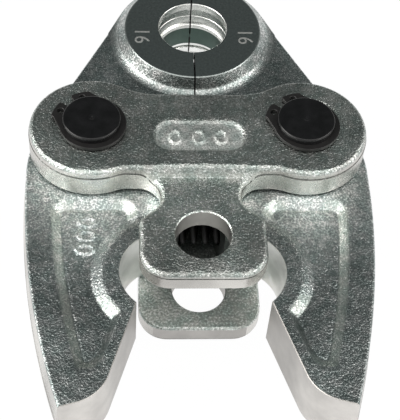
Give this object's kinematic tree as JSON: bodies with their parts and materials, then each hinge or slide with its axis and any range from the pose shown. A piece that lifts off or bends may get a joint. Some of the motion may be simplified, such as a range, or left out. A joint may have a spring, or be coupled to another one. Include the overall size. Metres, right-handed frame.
{
  "type": "press fitting tool jaw",
  "caption": "Radial press jaw for pipe fittings: forged levers with a round split mouth, hinged on pins between T-shaped side plates and sprung closed.",
  "frame": {"origin": "centre of the bounding box in plan, at the lower ends of the pivot pins", "axes": "+Y towards the pressing mouth, +Z along the pivot pins towards the pictured face, +X to the right of the picture"},
  "size_m": [0.0912, 0.1412, 0.0418],
  "materials": {
    "zinc_plated_side_plate": "blasted forging, bright zinc plate",
    "zinc_plated_lever": "blasted forging with machined working faces, bright zinc plate",
    "blackened_pin_steel": "black oxide, satin",
    "blackened_ring_steel": "phosphated black, satin",
    "spring_steel": "oiled drawn wire"
  },
  "bodies": {
    "side_plates": {"upper_side_plate": "zinc_plated_side_plate", "lower_side_plate": "zinc_plated_side_plate", "left_pivot_pin": "blackened_pin_steel", "right_pivot_pin": "blackened_pin_steel", "left_upper_retaining_ring": "blackened_ring_steel", "left_lower_retaining_ring": "blackened_ring_steel", "right_upper_retaining_ring": "blackened_ring_steel", "right_lower_retaining_ring": "blackened_ring_steel", "closing_spring": "spring_steel"},
    "right_lever": {"right_jaw_lever": "zinc_plated_lever"},
    "left_lever": {"left_jaw_lever": "zinc_plated_lever"}
  },
  "joints": [
    {"name": "right_lever_pivot", "type": "hinge", "parent": "side_plates", "child": "right_lever", "pos_m": [0.0278, 0.00613, 0.0209], "axis": [0, 0, -1], "range_deg": [0, 12], "stiffness_Nm_per_rad": 2.9, "springref_deg": -11.46, "deforming": ["closing_spring"]},
    {"name": "left_lever_pivot", "type": "hinge", "parent": "side_plates", "child": "left_lever", "pos_m": [-0.0278, 0.00613, 0.0209], "axis": [0, 0, 1], "range_deg": [0, 12], "stiffness_Nm_per_rad": 2.9, "springref_deg": -11.46, "deforming": ["closing_spring"]}
  ]
}
